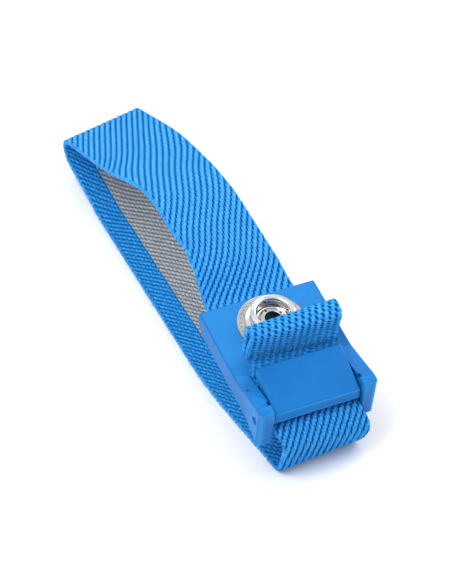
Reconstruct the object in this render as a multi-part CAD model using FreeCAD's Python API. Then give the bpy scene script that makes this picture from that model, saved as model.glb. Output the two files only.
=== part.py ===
"""ESD wrist strap: an elastic band in a cam buckle, with a snap stud for the earth cord.

The strap lies on its flat bottom run. X runs across the band, the front turn of the band faces -Y,
the far fold of the loop faces +Y and Z is up. The origin is at the middle of the box, on the floor.
Millimetres. The buckle is drawn in its own frame: u across, v rearward along its flat plate, w up
from the plate's top face, with v = 0 where the cheeks begin to rise. The band's loop lifts the
buckle and tilts it.
"""

import os

import FreeCAD, Part
from math import cos, pi, radians, sin, tan

# The whole strap
loop_length = 123.3
band_ahead_of_body = 0.2
plate_height = 20.9
buckle_tilt = 11.0

# The band
band_width = 20.3
band_thickness = 1.4
stripe_width = 8.8
stripe_depth = 0.25
thread_count = 10
thread_size = 0.5
thread_from_edge = 1.6
thread_clearance = 0.03
far_fold_rise = 2.65
far_fold_span = 6.1
far_fold_radius = 2.9
lift_off_from_rear = 22.3
front_turn_radius = 4.3
front_roll_radius = 1.3
crest_height = 27.2
crest_ahead_of_middle = 4.7
crest_lead_run = 8.0
crest_lead_drop = 1.2
crest_lead_radius = 10.0
crest_trail = 10.75
crest_trail_drop = 1.65
crest_radius = 25.0
crest_side_radius = 30.0
rear_slope_drop = 8.2
rear_slope_from_rear = 29.55
rear_slope_radius = 80.0
plate_exit_radius = 3.0
exit_sag = 1.45
exit_sag_reach = 3.7
exit_sag_radius = 4.0
lift_off_radius = 60.0
ramp_bend_radius = 2.5
longest_bend_share = 0.97

# The twist of the loop: how far the band's two edges lie from its middle line, rising at the left
exit_twist = 0.5
crest_lead_twist = 3.4
crest_twist = 2.5
crest_trail_twist = 1.45
rear_slope_twist = -1.3
far_fold_twist = 0.85
far_fold_span_twist = -1.2
far_fold_skew = 1.8
lift_off_skew = 4.75

# The buckle body
cheek_thickness = 3.2
channel_side_gap = 0.15
plate_behind_contact = 0.66
plate_thickness = 1.8
front_length = 14.4
cheek_start = 1.5
cheek_top_from_front = 2.4
cheek_rise = 2.8
skirt_depth = 5.0
skirt_thickness = 3.0
foot_depth = 7.8
foot_length = 6.9
rear_round = 3.9
edge_round = 0.4
front_edge_round = 1.3
strap_floor = 4.8
strap_floor_thickness = 1.0
strap_floor_setback = 1.0
ramp_angle = 38.0
ramp_start = 8.9
ramp_thickness = 1.6
notch_width = 1.2
notch_depth = 0.5
notch_height = 1.6
notch_behind_pivot = 0.5
gate_mark_radius = 0.3
gate_mark_depth = 0.25
gate_mark_from_crease = 5.85
gate_mark_inset = 0.9

# The pin and the cam lever
pivot_from_crease = 11.8
pin_radius = 1.0
pin_recess = 1.0
pin_seat_clearance = 0.01
pin_running_clearance = 0.05
lever_side_gap = 0.15
lever_plate_inset = 0.55
lever_rear_reach = 2.95
lever_rear_height = 4.0
lever_front_reach = 13.7
lever_front_height = 1.0
lever_front_face = 1.6
lever_rear_thickness = 1.6
lever_skin = 1.4
lever_rib = 1.6
lever_round = 0.35
lever_nose_round = 0.6
cam_gap = 0.15
hub_radius = 1.8
cam_tooth_count = 5
cam_tooth_depth = 0.3
cam_tooth_step = 22.0
boss_wall = 0.5

# The tail of the band, doubled back on itself behind the lever
tail_front = 1.1
tail_foot_height = 1.9
tail_layer_gap = 0.1
tail_top = 12.1
tail_lean = 1.0
tail_bulge = 0.2
tail_pinch_height = 4.6
tail_end_height = 2.0
tail_bend_radius = 1.1
tail_foot_radius = 1.2
tail_pinch_radius = 8.0
stitch_height = 3.5
stitch_count = 9
stitch_from_edge = 2.15
stitch_length = 1.3
stitch_width = 0.4
stitch_thickness = 0.2

# The snap and the plate that touches the skin
stud_behind_stitches = 0.84
washer_radius = 7.6
washer_thickness = 0.45
dimple_count = 36
dimple_ring_inset = 0.85
dimple_radius = 0.2
dimple_depth = 0.18
stud_base_radius = 5.9
stud_base_height = 0.85
stud_neck_radius = 4.45
stud_neck_start = 1.2
stud_neck_end = 1.75
stud_radius = 5.0
stud_land_start = 2.25
stud_height = 3.65
stud_rim_round = 0.6
stud_recess_radius = 3.6
stud_sheet = 0.8
rivet_radius = 2.2
rivet_bore_radius = 1.75
rivet_clearance = 0.05
rivet_head_radius = 3.6
rivet_head_thickness = 0.4
rivet_crown_height = 0.85
rivet_petal_radius = 3.05
rivet_petal_count = 4
rivet_slot_width = 0.55
rivet_petal_turn = 18.0
contact_plate_side_gap = 1.0
contact_plate_length = 15.0
contact_plate_sheet = 0.5
contact_plate_corner = 2.2
contact_plate_proud = 0.3
boss_radius = 4.5
boss_flare = 0.7
seat_gap = 0.05

# Places that follow from the sizes
half_band = band_thickness / 2
front_y = -loop_length / 2
rear_y = loop_length / 2
crease_y = front_y + band_ahead_of_body + front_length
channel_half = band_width / 2 + channel_side_gap
buckle_width = 2 * (channel_half + cheek_thickness)
skirt_half = buckle_width / 2 - skirt_thickness
lever_half = channel_half - lever_plate_inset
contact_plate_width = 2 * (skirt_half - contact_plate_side_gap)
thread_pitch = (band_width - 2 * thread_from_edge) / (thread_count - 1)
stitch_pitch = (band_width - 2 * stitch_from_edge) / (stitch_count - 1)
ramp_rise = tan(radians(ramp_angle))
ramp_end = ramp_start - strap_floor / ramp_rise
strap_w = -strap_floor + seat_gap + half_band
fixed_end_w = -plate_thickness - seat_gap - half_band
boss_top = fixed_end_w - half_band - seat_gap
skin_face = -skirt_depth - contact_plate_proud
back_layer = tail_front + band_thickness + tail_layer_gap
tail_rear = back_layer + half_band + stitch_thickness
snap_from_crease = tail_rear + stud_behind_stitches + stud_radius
plate_length = snap_from_crease + contact_plate_length / 2 + plate_behind_contact
fixed_end_v = snap_from_crease - contact_plate_length / 2 + contact_plate_sheet
pivot = (-pivot_from_crease, strap_w + half_band + cam_gap + hub_radius)
stud_floor = washer_thickness + stud_sheet
stud_top = washer_thickness + stud_height
above_all = tail_top + band_thickness
below_all = -foot_depth - band_thickness


def outline_edges(points, x=0.0, soft=False):
    """Edges in the plane at x through (y, z, corner radius) points; radius 0 is a sharp corner.

    Soft edges round their corners with curves that blend evenly from one outline to the next.
    """
    ends = []
    count = len(points)
    for i, (y, z, radius) in enumerate(points):
        corner = FreeCAD.Vector(x, y, z)
        if radius == 0:
            ends.append((corner, None, corner))
            continue
        before = FreeCAD.Vector(x, *points[i - 1][:2]) - corner
        after = FreeCAD.Vector(x, *points[(i + 1) % count][:2]) - corner
        before.normalize()
        after.normalize()
        half_angle = before.getAngle(after) / 2
        reach = radius / tan(half_angle)
        middle = before + after
        middle.normalize()
        top = corner if soft else corner + middle * (radius / sin(half_angle) - radius)
        ends.append((corner + before * reach, top, corner + after * reach))
    edges = []
    for i, (start, top, end) in enumerate(ends):
        if top is not None and soft:
            bend = Part.BezierCurve()
            bend.setPoles([start, top, end])
            edges.append(bend.toShape())
        elif top is not None:
            edges.append(Part.Arc(start, top, end).toShape())
        following = ends[(i + 1) % count][0]
        if end.distanceToPoint(following) > 1e-6:
            edges.append(Part.LineSegment(end, following).toShape())
    return edges


def outline(points, x=0.0):
    """Closed face through the points, in the plane at x."""
    return Part.Face(Part.Wire(outline_edges(points, x)))


def prism(points, low_x, high_x):
    """The outline's solid from low_x to high_x."""
    return outline(points, low_x).extrude(FreeCAD.Vector(high_x - low_x, 0, 0))


def beside(points, distance):
    """The same run of (y, z, radius) points, shifted to the left of its direction by distance."""
    shifted = []
    last = len(points) - 1
    for i, (y, z, radius) in enumerate(points):
        here = FreeCAD.Vector(0, y, z)
        back = here - FreeCAD.Vector(0, *points[max(i - 1, 0)][:2])
        ahead = FreeCAD.Vector(0, *points[min(i + 1, last)][:2]) - here
        if i == 0:
            back = FreeCAD.Vector(ahead)
        if i == last:
            ahead = FreeCAD.Vector(back)
        back.normalize()
        ahead.normalize()
        left = FreeCAD.Vector(0, -back.z - ahead.z, back.y + ahead.y)
        spot = here + left * (distance / (1 + back.dot(ahead)))
        turn = back.y * ahead.z - back.z * ahead.y
        side = 0 if i in (0, last) else (1 if turn > 0 else -1)
        shifted.append((spot.y, spot.z, radius - side * distance if side else 0))
    return shifted


def with_room(run):
    """The run of (y, z, radius) points, each corner no rounder than the stretches beside it allow."""
    spots = [FreeCAD.Vector(0, y, z) for y, z, radius in run]
    steps = [after - before for before, after in zip(spots, spots[1:])]
    turns = [before.getAngle(after) for before, after in zip(steps, steps[1:])]
    reaches = [radius * tan(turn / 2) for (y, z, radius), turn in zip(run[1:], turns)]
    reaches = [0] + reaches + [0]
    shares = [
        longest_bend_share * step.Length / max(here + ahead, 1e-9)
        for step, here, ahead in zip(steps, reaches, reaches[1:])
    ]
    limits = [1] + [min(1, *pair) for pair in zip(shares, shares[1:])] + [1]
    return [(y, z, radius * limit) for (y, z, radius), limit in zip(run, limits)]


def face_between(low, high):
    """The face from one edge to its match: flat where both are straight and parallel, else ruled."""
    if low.Curve.TypeId == high.Curve.TypeId == "Part::GeomLine":
        corners = [low.valueAt(low.FirstParameter), low.valueAt(low.LastParameter)]
        corners += [high.valueAt(high.LastParameter), high.valueAt(high.FirstParameter)]
        if (corners[1] - corners[0]).cross(corners[2] - corners[3]).Length < 1e-6:
            return Part.Face(Part.makePolygon(corners + corners[:1]))
    return Part.makeRuledSurface(low, high)


def ribbon(low, high, low_x, high_x):
    """A strip along the band, from low to high outside its middle line and from low_x to high_x across."""
    sides = []
    for x in (low_x, high_x):
        run = with_room(band_run(2 * x / band_width))
        points = beside(run, high) + list(reversed(beside(run, low)))
        sides.append(outline_edges(points, x, soft=True))
    faces = [Part.Face(Part.Wire(edges)) for edges in sides]
    faces += [face_between(*pair) for pair in zip(*sides)]
    return Part.Solid(Part.Shell(faces))


def to_row(v, w):
    """A point of the buckle's frame as (y, z) of the whole strap."""
    tilt = radians(buckle_tilt)
    return crease_y + v * cos(tilt) - w * sin(tilt), plate_height + v * sin(tilt) + w * cos(tilt)


def placed(shape):
    """The shape, drawn in the buckle's frame, moved to where the buckle sits."""
    shape = shape.copy()
    shape.rotate(FreeCAD.Vector(0, 0, 0), FreeCAD.Vector(1, 0, 0), buckle_tilt)
    shape.translate(FreeCAD.Vector(0, crease_y, plate_height))
    return shape


def turned(profile):
    """The closed profile of (r, w, corner radius) points turned about the snap's axis."""
    face = outline([(snap_from_crease + r, w, radius) for r, w, radius in profile])
    return face.revolve(FreeCAD.Vector(0, snap_from_crease, 0), FreeCAD.Vector(0, 0, 1), 360)


def snap_plug(radius, low, high):
    """A round plug on the snap's axis."""
    return Part.makeCylinder(radius, high - low, FreeCAD.Vector(0, snap_from_crease, low))


def cross_rod(radius, half_length):
    """A round rod across the buckle at the lever's pivot."""
    start = FreeCAD.Vector(-half_length, *pivot)
    return Part.makeCylinder(radius, 2 * half_length, start, FreeCAD.Vector(1, 0, 0))


def rounded_block(width, length, corner, low, high):
    """A block round the snap's axis with rounded upright edges."""
    start = FreeCAD.Vector(-width / 2, snap_from_crease - length / 2, low)
    block = Part.makeBox(width, length, high - low, start)
    upright = [e for e in block.Edges if e.BoundBox.ZLength > (high - low) / 2]
    return block.makeFillet(corner, upright)


def band_run(across):
    """The band's middle line, from its fixed end round the loop and the buckle to the tail's end.

    It is taken at a place across the band, from -1 at the left edge to 1 at the right one.
    """
    tip_y = rear_y - half_band - far_fold_skew * (1 - across)
    tip_low = far_fold_rise - across * far_fold_twist
    tip_high = tip_low + far_fold_span - across * far_fold_span_twist
    front_line = front_y + half_band
    roll_z = to_row(-front_length - seat_gap, strap_w)[1]
    ramp_foot = -ramp_start - half_band * tan(radians(ramp_angle / 2))
    ramp_top_w = tail_foot_height - half_band
    ramp_top = ramp_foot + (ramp_top_w - strap_w) / ramp_rise
    crest_y = (crease_y + rear_y) / 2 - crest_ahead_of_middle
    lead_z = crest_height - crest_lead_drop - across * crest_lead_twist
    trail_z = crest_height - crest_trail_drop - across * crest_trail_twist
    slope_z = crest_height - rear_slope_drop - across * rear_slope_twist
    sag = to_row(plate_length + exit_sag_reach, fixed_end_w - exit_sag + across * exit_twist)
    return [
        (*to_row(fixed_end_v, fixed_end_w), 0),
        (*to_row(plate_length, fixed_end_w), plate_exit_radius),
        (*sag, exit_sag_radius),
        (sag[0] + crest_lead_run, lead_z, crest_lead_radius),
        (crest_y, crest_height - across * crest_twist, crest_radius),
        (crest_y + crest_trail, trail_z, crest_side_radius),
        (rear_y - rear_slope_from_rear, slope_z, rear_slope_radius),
        (tip_y, tip_high, far_fold_radius),
        (tip_y, tip_low, far_fold_radius),
        (rear_y - lift_off_from_rear + across * lift_off_skew, half_band, lift_off_radius),
        (front_line, half_band, front_turn_radius),
        (front_line, roll_z, front_roll_radius),
        (*to_row(ramp_foot, strap_w), ramp_bend_radius),
        (*to_row(ramp_top, ramp_top_w), ramp_bend_radius),
        (*to_row(tail_front, tail_foot_height), tail_foot_radius),
        (*to_row(tail_front, tail_pinch_height), tail_pinch_radius),
        (*to_row(tail_front - tail_lean, tail_top), tail_bend_radius),
        (*to_row(back_layer + tail_bulge, tail_top), tail_bend_radius),
        (*to_row(back_layer, tail_pinch_height), tail_pinch_radius),
        (*to_row(back_layer, tail_end_height), 0),
    ]


def rivet_way():
    """The hole for the rivet, through all that it holds."""
    return placed(snap_plug(rivet_radius + rivet_clearance, below_all, above_all))


def thread_places():
    """Where the rubber threads lie across the band."""
    return [(i - (thread_count - 1) / 2) * thread_pitch for i in range(thread_count)]


def conductive_stripe():
    """Grey conductive yarn down the middle of the band's inner face."""
    half = stripe_width / 2
    return ribbon(-half_band, -half_band + stripe_depth, -half, half).cut(rivet_way())


def elastic_threads():
    """Rubber threads that run inside the band from end to end."""
    half = thread_size / 2
    threads = [ribbon(-half, half, x - half, x + half).cut(rivet_way()) for x in thread_places()]
    return Part.Compound([solid for thread in threads for solid in thread.Solids])


def band_webbing():
    """The woven band: one strip, with room for the stripe, the rubber threads and the rivet."""
    half = stripe_width / 2
    edge = band_width / 2
    inner = -half_band + stripe_depth
    left = ribbon(-half_band, half_band, -edge, -half)
    middle = ribbon(inner, half_band, -half, half)
    right = ribbon(-half_band, half_band, half, edge)
    band = left.fuse([middle, right]).removeSplitter()
    room = thread_size / 2 + thread_clearance
    tunnels = [ribbon(-room, room, x - room, x + room) for x in thread_places()]
    return band.cut(tunnels + [rivet_way()])


def hem_stitches():
    """Stitches that hold the tail's two layers together, a row on each face."""
    bars = []
    faces = [tail_front - half_band - stitch_thickness, back_layer + half_band]
    for i in range(stitch_count):
        u = (i - (stitch_count - 1) / 2) * stitch_pitch - stitch_length / 2
        for v in faces:
            start = FreeCAD.Vector(u, v, stitch_height - stitch_width / 2)
            bars.append(Part.makeBox(stitch_length, stitch_thickness, stitch_width, start))
    return Part.Compound(bars)


def buckle_shell():
    """The body's outer form: side profile across the full width, with its outer edges rounded."""
    side = [
        (plate_length, 0, 0.6),
        (plate_length, -skirt_depth, rear_round),
        (-front_length + foot_length, -skirt_depth, 8),
        (-front_length, -foot_depth, 0.6),
        (-front_length, cheek_rise, 1.0),
        (-front_length + cheek_top_from_front, cheek_rise, 4),
        (-cheek_start, 0, 0),
    ]
    half = buckle_width / 2
    shell = prism(side, -half, half)
    shell = shell.makeFillet(edge_round, [e for e in shell.Edges if e.BoundBox.XLength < 0.01])
    start = FreeCAD.Vector(-half, -front_length, below_all)
    plan = Part.makeBox(buckle_width, front_length + plate_length, above_all - below_all, start)
    front = [e for e in plan.Edges if e.BoundBox.ZLength > above_all and e.BoundBox.YMax < 0]
    return shell.common(plan.makeFillet(front_edge_round, front))


def strap_way_above():
    """Room between the cheeks for the lever and the band, down to the strap floor and its ramp."""
    floor_front = -front_length + strap_floor_setback
    middle = -strap_floor - strap_floor_thickness / 2
    lip = strap_floor_thickness * 0.4
    return prism(
        [
            (-front_length - band_thickness, middle, 0),
            (floor_front, middle, 0),
            (floor_front, -strap_floor, lip),
            (-ramp_start, -strap_floor, 2),
            (-ramp_end, 0, 0.4),
            (-cheek_start, 0, 0),
            (-cheek_start, above_all, 0),
            (-front_length - band_thickness, above_all, 0),
        ],
        -channel_half,
        channel_half,
    )


def room_below():
    """The hollow underside between the skirts, below the plate, the ramp and the strap floor."""
    floor_front = -front_length + strap_floor_setback
    middle = -strap_floor - strap_floor_thickness / 2
    floor_below = -strap_floor - strap_floor_thickness
    lip = strap_floor_thickness * 0.4
    slope = radians(ramp_angle)
    v_start = -ramp_start + ramp_thickness * sin(slope)
    w_start = -strap_floor - ramp_thickness * cos(slope)
    v_floor = v_start + (floor_below - w_start) / ramp_rise
    v_plate = v_start + (-plate_thickness - w_start) / ramp_rise
    rear = plate_length + band_thickness
    return prism(
        [
            (-front_length - band_thickness, middle, 0),
            (-front_length - band_thickness, below_all, 0),
            (rear, below_all, 0),
            (rear, -plate_thickness, 0),
            (v_plate, -plate_thickness, 1),
            (v_floor, floor_below, 2),
            (floor_front, floor_below, lip),
            (floor_front, middle, 0),
        ],
        -skirt_half,
        skirt_half,
    )


def buckle_body():
    """Plastic body: flat plate, two cheeks that rise to the front, skirts and the sloped strap floor."""
    cuts = [strap_way_above(), room_below(), cross_rod(pin_radius + pin_seat_clearance, buckle_width)]
    cuts.append(snap_plug(rivet_radius + rivet_clearance, below_all, above_all))
    notch_v = -pivot_from_crease + notch_behind_pivot - notch_width / 2
    for u in (-channel_half - notch_depth, channel_half):
        start = FreeCAD.Vector(u, notch_v, cheek_rise - notch_height)
        cuts.append(Part.makeBox(notch_depth, notch_width, above_all, start))
    slope = cheek_rise / (front_length - cheek_top_from_front - cheek_start)
    mark_w = (gate_mark_from_crease - cheek_start) * slope - gate_mark_depth
    mark = FreeCAD.Vector(-buckle_width / 2 + gate_mark_inset, -gate_mark_from_crease, mark_w)
    cuts.append(Part.makeCylinder(gate_mark_radius, above_all, mark))
    return buckle_shell().cut(cuts)


def pivot_pin():
    """Steel pin that the lever turns on, pressed into the cheeks and a little short of their faces."""
    pin = cross_rod(pin_radius, buckle_width / 2 - pin_recess)
    return pin.makeChamfer(pin_radius * 0.15, [e for e in pin.Edges if e.BoundBox.XLength < 0.01])


def lever_top(v):
    """Height of the lever's top face at v."""
    fall = (lever_rear_height - lever_front_height) / (lever_front_reach - lever_rear_reach)
    return lever_rear_height + (v + lever_rear_reach) * fall


def inside_hub(angle):
    """A point just inside the lever's hub, at an angle in degrees from the rear, upward."""
    reach = 0.98 * hub_radius
    return pivot[0] + reach * cos(radians(angle)), pivot[1] + reach * sin(radians(angle))


def cam_lever():
    """Cam lever: a plate over a toothed hub, ribbed below, that pins the band to the strap floor."""
    half = lever_half
    v0, w0 = pivot
    plate = [
        (-lever_rear_reach, lever_rear_height, lever_round),
        (-lever_front_reach, lever_front_height, lever_nose_round),
        (-lever_front_reach, lever_front_height - lever_front_face, 0),
        (*inside_hub(190), 0),
        (*inside_hub(300), 0),
        (-lever_rear_reach, lever_rear_height - lever_rear_thickness, lever_round),
    ]
    lever = prism(plate, -half, half)
    sides = [
        e
        for e in lever.Edges
        if e.BoundBox.XLength < 0.01 and e.BoundBox.ZMin > lever_front_height - lever_nose_round - 0.1
        and e.BoundBox.ZMax > lever_front_height - 0.3
    ]
    lever = lever.makeFillet(lever_round, sides)
    side_boss = cross_rod(pin_radius + boss_wall, channel_half - lever_side_gap)
    lever = lever.fuse([cross_rod(hub_radius, half), side_boss])
    pocket_rear = -lever_rear_reach - lever_rib
    pocket_front = v0 + hub_radius + lever_rib / 2
    pocket = [
        (pocket_rear, lever_top(pocket_rear) - lever_skin, 0),
        (pocket_front, lever_top(pocket_front) - lever_skin, 0.5),
        (pocket_front, below_all, 0),
        (pocket_rear, below_all, 0),
    ]
    cuts = [cross_rod(pin_radius + pin_running_clearance, buckle_width)]
    cuts.append(prism(pocket, lever_rib / 2, half - lever_rib))
    cuts.append(prism(pocket, -half + lever_rib, -lever_rib / 2))
    for i in range(cam_tooth_count):
        angle = radians(270 + (i - (cam_tooth_count - 1) / 2) * cam_tooth_step)
        start = FreeCAD.Vector(-half, v0 + hub_radius * cos(angle), w0 + hub_radius * sin(angle))
        cuts.append(Part.makeCylinder(cam_tooth_depth, 2 * half, start, FreeCAD.Vector(1, 0, 0)))
    return lever.cut(cuts)


def grip_washer():
    """Flat ring under the stud, with a circle of small dimples near its rim."""
    bore = rivet_radius + rivet_clearance
    rim = washer_thickness * 0.35
    ring = turned(
        [
            (bore, 0, 0),
            (washer_radius, 0, 0),
            (washer_radius, washer_thickness, rim),
            (bore, washer_thickness, 0),
        ]
    )
    ring_radius = washer_radius - dimple_ring_inset
    dimples = []
    for i in range(dimple_count):
        angle = 2 * pi * i / dimple_count
        floor = washer_thickness - dimple_depth
        start = FreeCAD.Vector(ring_radius * cos(angle), snap_from_crease + ring_radius * sin(angle), floor)
        dimples.append(Part.makeCone(dimple_radius / 2, dimple_radius * 1.1, dimple_depth * 1.1, start))
    return ring.cut(dimples)


def snap_stud():
    """Snap stud: base ring, neck and bulb, with a recess that the rivet's petals are folded into."""
    base = washer_thickness
    return turned(
        [
            (rivet_radius + rivet_clearance, base, 0),
            (stud_base_radius, base, 0),
            (stud_base_radius, base + stud_base_height, 0.35),
            (stud_neck_radius + 0.6, base + stud_neck_start, 0.3),
            (stud_neck_radius, base + stud_neck_start, 0.2),
            (stud_neck_radius, base + stud_neck_end, 0.2),
            (stud_radius, base + stud_land_start, 0),
            (stud_radius, stud_top, stud_rim_round),
            (stud_recess_radius, stud_top, stud_rim_round),
            (stud_recess_radius, stud_floor, 0.3),
            (rivet_radius + rivet_clearance, stud_floor, 0),
        ]
    )


def snap_rivet():
    """Tubular rivet: closed head below the skin plate, petals split and folded out inside the stud."""
    head_top = boss_top - contact_plate_sheet
    crown = stud_floor + rivet_crown_height
    rivet = turned(
        [
            (0, head_top - rivet_head_thickness, 0),
            (rivet_head_radius, head_top - rivet_head_thickness, 0.15),
            (rivet_head_radius, head_top, 0.1),
            (rivet_radius, head_top, 0),
            (rivet_radius, stud_floor, 0),
            (rivet_petal_radius, stud_floor, 0.15),
            (rivet_petal_radius, stud_floor + rivet_crown_height * 0.4, 0.2),
            (rivet_radius + 0.35, crown, 0.3),
            (rivet_bore_radius, crown, 0.15),
            (rivet_bore_radius, head_top, 0.3),
            (0, head_top, 0),
        ]
    )
    slots = []
    for i in range(rivet_petal_count):
        start = FreeCAD.Vector(rivet_bore_radius + 0.2, -rivet_slot_width / 2, stud_floor)
        slot = Part.makeBox(rivet_petal_radius, rivet_slot_width, 2 * rivet_crown_height, start)
        turn = rivet_petal_turn + 360 * i / rivet_petal_count
        slot.rotate(FreeCAD.Vector(0, 0, 0), FreeCAD.Vector(0, 0, 1), turn)
        slot.translate(FreeCAD.Vector(0, snap_from_crease, 0))
        slots.append(slot)
    return rivet.cut(slots)


def contact_plate():
    """Stainless tray that touches the skin, with a boss up to the band and a dip for the rivet's head."""
    sheet = contact_plate_sheet
    width, length = contact_plate_width, contact_plate_length
    tray = rounded_block(width, length, contact_plate_corner, skin_face, boss_top)
    skin_edges = [e for e in tray.Edges if e.BoundBox.ZMax < skin_face + 0.01]
    tray = tray.makeFillet(sheet * 0.8, skin_edges)
    inside_corner = contact_plate_corner - sheet
    inside_floor = skin_face + sheet
    inside = rounded_block(width - 2 * sheet, length - 2 * sheet, inside_corner, inside_floor, above_all)
    foot = FreeCAD.Vector(0, snap_from_crease, skin_face)
    rise = boss_top - skin_face
    boss = Part.makeCone(boss_radius + boss_flare, boss_radius, rise, foot)
    wall = sheet * rise / (rise * rise + boss_flare * boss_flare) ** 0.5 + sheet * 0.2
    dip = Part.makeCone(boss_radius + boss_flare - wall, boss_radius - wall, rise - sheet, foot)
    hole = snap_plug(rivet_radius + rivet_clearance, below_all, above_all)
    return tray.cut(inside).fuse(boss).cut([dip, hole]).removeSplitter()


if __name__ == "__main__":
    os.makedirs("parts", exist_ok=True)
    nodes = {
        "buckle_body": placed(buckle_body()),
        "cam_lever": placed(cam_lever()),
        "pivot_pin": placed(pivot_pin()),
        "grip_washer": placed(grip_washer()),
        "snap_stud": placed(snap_stud()),
        "snap_rivet": placed(snap_rivet()),
        "contact_plate": placed(contact_plate()),
        "hem_stitches": placed(hem_stitches()),
        "band_webbing": band_webbing(),
        "conductive_stripe": conductive_stripe(),
        "elastic_threads": elastic_threads(),
    }
    for name, shape in nodes.items():
        shape.exportStep(f"parts/{name}.step")
        print(name, shape.isValid(), len(shape.Solids), round(shape.Volume, 2))
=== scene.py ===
"""ESD wrist strap: a woven elastic band in a cam buckle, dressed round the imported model.

Lengths here are millimetres until a mesh is made, and MM turns them into metres. The band is one strip
whose two edges have their own side views, because the loop is twisted a little. Its weave is real relief
on the mesh, with a finer bump in the material, and both follow the same cords.
"""

import math

import bpy
import numpy as np
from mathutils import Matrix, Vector


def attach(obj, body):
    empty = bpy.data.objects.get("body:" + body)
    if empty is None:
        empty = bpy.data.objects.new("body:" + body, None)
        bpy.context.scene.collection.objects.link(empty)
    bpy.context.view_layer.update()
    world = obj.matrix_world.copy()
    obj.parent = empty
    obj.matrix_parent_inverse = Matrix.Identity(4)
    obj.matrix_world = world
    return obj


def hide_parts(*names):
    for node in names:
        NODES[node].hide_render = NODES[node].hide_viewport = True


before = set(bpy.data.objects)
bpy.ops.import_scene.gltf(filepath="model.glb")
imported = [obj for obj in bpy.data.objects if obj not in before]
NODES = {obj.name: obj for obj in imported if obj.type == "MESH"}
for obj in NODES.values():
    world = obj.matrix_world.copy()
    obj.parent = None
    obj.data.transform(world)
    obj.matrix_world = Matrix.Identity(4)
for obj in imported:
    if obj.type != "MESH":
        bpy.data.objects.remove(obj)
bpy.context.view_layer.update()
MM = 0.001
ROOT = "band_and_buckle"

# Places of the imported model, in millimetres
BUCKLE_TILT = math.radians(11.0)
CREASE_Y, PLATE_HEIGHT = -47.05, 20.9
SNAP_V = 9.34
RIVET_BORE, RIVET_PETALS = 1.75, 3.15

# The band. It is drawn every STEP along its run and cut into three lengths at CUTS_AT. LUMPS is how
# uneven the yarn lies, and no crest of the outer face comes nearer than CREST_GIVE to its full height.
BAND_WIDTH, BAND_THICKNESS = 20.3, 1.4
STRIPE_WIDTH, STRIPE_DEPTH, STRIPE_BEDDED = 8.8, 0.25, 0.02
STEP = 0.22
CUTS_AT = (100, 192)
SELVEDGE, SELVEDGE_WHOLE = 0.32, 0.6
SELVEDGE_BARE, EDGE_BARE = 0.6, 0.5
EDGE_LOOP, EDGE_LOOP_DEPTH = 1.25, 0.12
EDGE_TURNS, EDGE_ROUND, EDGE_THINNER = (65, 25, -25, -65), 0.016, 0.6
LUMPS = 0.03
CREST_GIVE = 0.01
BAND_SEED, STRIPE_SEED, LOOSE_SEED = 5, 6, 11

# The outer face: warp ends across and diagonal cords across. On the loop's far part an even number of
# cords is met along a millimetre of an edge. Near the buckle, round the front turn and in the tail the
# number goes with how far a millimetre leads back and how far it leads up. The pairs of places are where
# one way goes over into the next: from the start of the run, and, where negative, from its end.
ENDS, END_COLUMNS = 27, 4
LOOP_CORDS_ACROSS, FRONT_CORDS_ACROSS = 12.2, 10.8
CORDS_PER_MM_FAR = 0.27
CORDS_NEAR = (0.315, 0.40)
CORDS_FRONT = (0.451, 0.227)
CORDS_TAIL = (0.316, 0.082)
NEAR_TO_FAR = (48, 62)
FAR_TO_FRONT = (-64, -52)
FRONT_TO_TAIL = (-30, -22)
CORD_RELIEF, TAIL_RELIEF = 0.30, 0.10
CORD_SOFTNESS, CORD_FLOOR = 0.30, 0.22

# At the foot of the tail the cords are pressed together and their grooves all but close. In the tail the
# dots of a groove are counted along the run, and across it at a share of the warp ends.
CLOSED_PLACES, CLOSED_SHARE = (-26, -24, -17, -14.5), 0.85
TAIL_DOTS_PER_MM = 1.05
TAIL_DOTS_ACROSS = 0.45

# Painted shade on the weave: how much darker it is drawn at places from the end of the run, and near its
# start
DARKER_PLACES = (-62, -50, -36, -30, -20, -14, 0)
DARKER = (0.18, 0.50, 0.50, 0.90, 0.80, 0.34, 0.30)
DARKER_NEAR, NEAR_FADES = 0.22, (20, 60)

# The inner face: warp ends across and flatter diagonal rows
INNER_ENDS, INNER_END_COLUMNS = 26, 2
ROWS_ACROSS = 15.0
ROWS_PER_MM = 0.585
ROW_RELIEF = 0.15
ROW_SOFTNESS, ROW_FLOOR = 0.32, 0.1

# Both faces: how far the grooves wander, and how high a cord still is between two ends
WANDER, WANDER_PER_MM, WANDER_PER_END = 0.035, 1.3, 2.1
VALLEY_SHARE = 0.86

# Sewing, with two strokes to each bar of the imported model, and its rubber threads
STITCH_HEIGHT, STITCH_FROM_EDGE, STITCH_COUNT = 3.5, 2.15, 18
STITCH_THREAD, STITCH_REACH, STITCH_SLANT = 0.17, 0.50, 0.30
STITCH_SUNK, STITCH_ARCH = 0.28, 0.36
STITCH_POINTS, STITCH_SIDES = 7, 7
RUBBER_COUNT, RUBBER_SIZE, RUBBER_FROM_EDGE = 10, 0.5, 1.6
RUBBER_STANDS_OUT, RUBBER_SIDES = 0.3, 8
RUBBER_STEP, RUBBER_END_STEP = 1.6, 0.5

# Loose yarn at the cut end and lint along the edges, which are in the scene alone
FRAY_COUNT, FRAY_THREAD, FRAY_LENGTHS = 150, 0.14, (0.5, 1.3)
FRAY_POINTS, FRAY_SIDES, FRAY_TAPER = 5, 5, 0.6
LINT_COUNT, LINT_THREAD, LINT_LENGTHS = 700, 0.07, (0.3, 0.8)
LINT_POINTS, LINT_SIDES, LINT_TAPER = 4, 4, 0.7
LINT_FROM, LINT_ROOT = 20, 0.985


def rgb(red, green, blue):
    """Linear colour from a screen colour in 0 to 255."""
    def linear(c):
        c = c / 255
        return c / 12.92 if c <= 0.04045 else ((c + 0.055) / 1.055) ** 2.4
    return (linear(red), linear(green), linear(blue), 1.0)


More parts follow.
